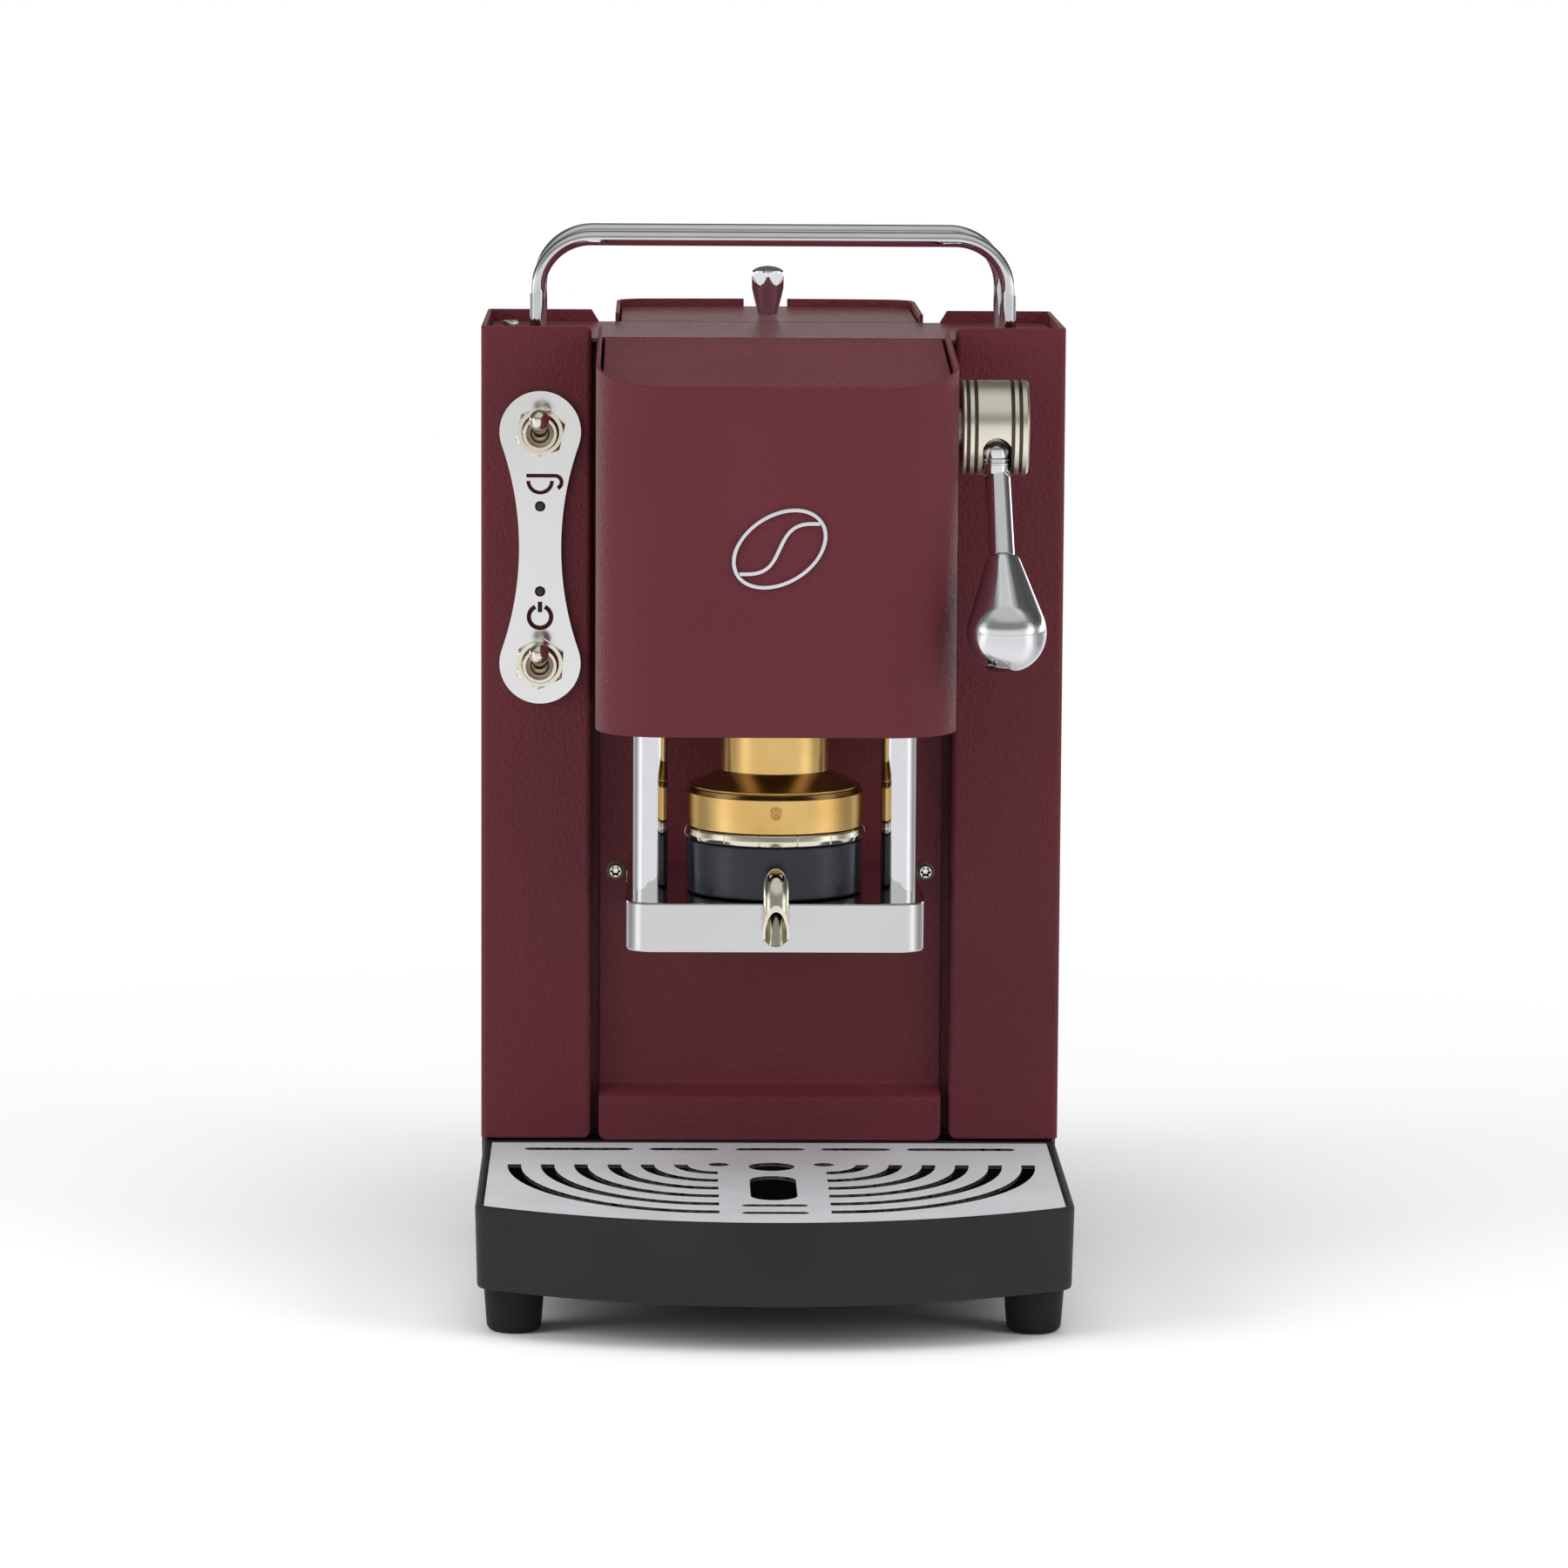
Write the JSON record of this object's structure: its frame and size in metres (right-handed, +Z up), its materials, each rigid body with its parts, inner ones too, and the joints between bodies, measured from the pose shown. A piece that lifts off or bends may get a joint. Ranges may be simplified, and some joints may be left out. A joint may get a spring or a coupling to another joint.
{
  "type": "lever espresso machine",
  "caption": "Small lever espresso machine for paper pods: painted sheet-steel body, brass group over a pod cup, side lever, lift-out drip grid and rear water tank.",
  "frame": {"origin": "under the middle of the outline, on the surface the feet stand on", "axes": "+X to the right of someone facing the machine, the front looks along -Y, +Z up"},
  "size_m": [0.19, 0.3166, 0.34],
  "materials": {
    "paint": "semi-gloss textured",
    "chrome": "mirror",
    "nickel": "satin",
    "brass": "polished",
    "steel": "satin",
    "aluminium": "polished",
    "black_plastic": "satin",
    "rubber": "matte",
    "enamel": "gloss",
    "lens": "gloss",
    "clear_plastic": "translucent",
    "silicone": "matte"
  },
  "bodies": {
    "machine": {"column_shell_left": "paint", "column_shell_right": "paint", "centre_plate": "paint", "top_plate": "paint", "tank_housing": "paint", "group_cover": "paint", "sloped_panel": "paint", "bow_front": "chrome", "bow_back": "chrome", "guide_column_left": "chrome", "guide_column_right": "chrome", "cup_rim_ring": "chrome", "spout": "nickel", "switch_upper": "nickel", "switch_lower": "nickel", "switch_nut_upper": "nickel", "switch_nut_lower": "nickel", "shaft_bush_left": "brass", "shaft_bush_right": "brass", "floor_pan": "steel", "top_plate_screw": "steel", "arm_screw_left": "steel", "arm_screw_right": "steel", "return_spring_left": "steel", "return_spring_right": "steel", "control_plate": "steel", "pod_arm": "aluminium", "head_bridge": "aluminium", "pump": "black_plastic", "mains_inlet": "black_plastic", "foot_front_left": "rubber", "foot_front_right": "rubber", "foot_rear_left": "rubber", "foot_rear_right": "rubber", "pump_cradle": "rubber", "pod_cup": "enamel", "lamp_upper": "lens", "lamp_lower": "lens", "water_tank": "clear_plastic", "suction_hose": "silicone", "pressure_hose": "silicone", "group_hose": "silicone"},
    "piston": {"group_body": "brass", "group_ring": "brass", "shower_screen": "steel", "band_heater": "steel", "crosshead": "steel"},
    "lever": {"lever_shaft": "steel", "lever_cam": "steel", "lever_hub": "nickel", "lever_arm": "chrome", "lever_knob": "chrome"},
    "tray": {"drip_tray": "black_plastic", "tray_foot_left": "rubber", "tray_foot_right": "rubber"},
    "grid": {"drip_grid": "steel"},
    "lid": {"lid": "paint", "lid_knob": "chrome"},
    "upper_bat": {"switch_bat_upper": "nickel"},
    "lower_bat": {"switch_bat_lower": "nickel"}
  },
  "joints": [
    {"name": "lever_turn", "type": "hinge", "parent": "machine", "child": "lever", "pos_m": [0.0689, -0.07725, 0.2823], "axis": [-1, 0, 0], "range_deg": [0, 95]},
    {"name": "piston_slide", "type": "slide", "parent": "machine", "child": "piston", "axis": [0, 0, 1], "range_m": [0, 0.0131], "deforming": ["return_spring_left", "return_spring_right", "group_hose"]},
    {"name": "tray_slide", "type": "slide", "parent": "machine", "child": "tray", "axis": [0, -1, 0], "range_m": [0, 0.12]},
    {"name": "grid_lift", "type": "slide", "parent": "tray", "child": "grid", "axis": [0, 0, 1], "range_m": [0, 0.05]},
    {"name": "lid_lift", "type": "slide", "parent": "machine", "child": "lid", "axis": [0, 0, 1], "range_m": [0, 0.06]},
    {"name": "upper_bat_turn", "type": "hinge", "parent": "machine", "child": "upper_bat", "pos_m": [-0.0757, -0.02525, 0.27575], "axis": [1, 0, 0], "range_deg": [0, 34]},
    {"name": "lower_bat_turn", "type": "hinge", "parent": "machine", "child": "lower_bat", "pos_m": [-0.0757, -0.02525, 0.20015], "axis": [1, 0, 0], "range_deg": [0, 34]}
  ],
  "couplings": [
    {"joint": "piston_slide", "follows": "lever_turn", "m_per_rad": 0.0078405}
  ]
}
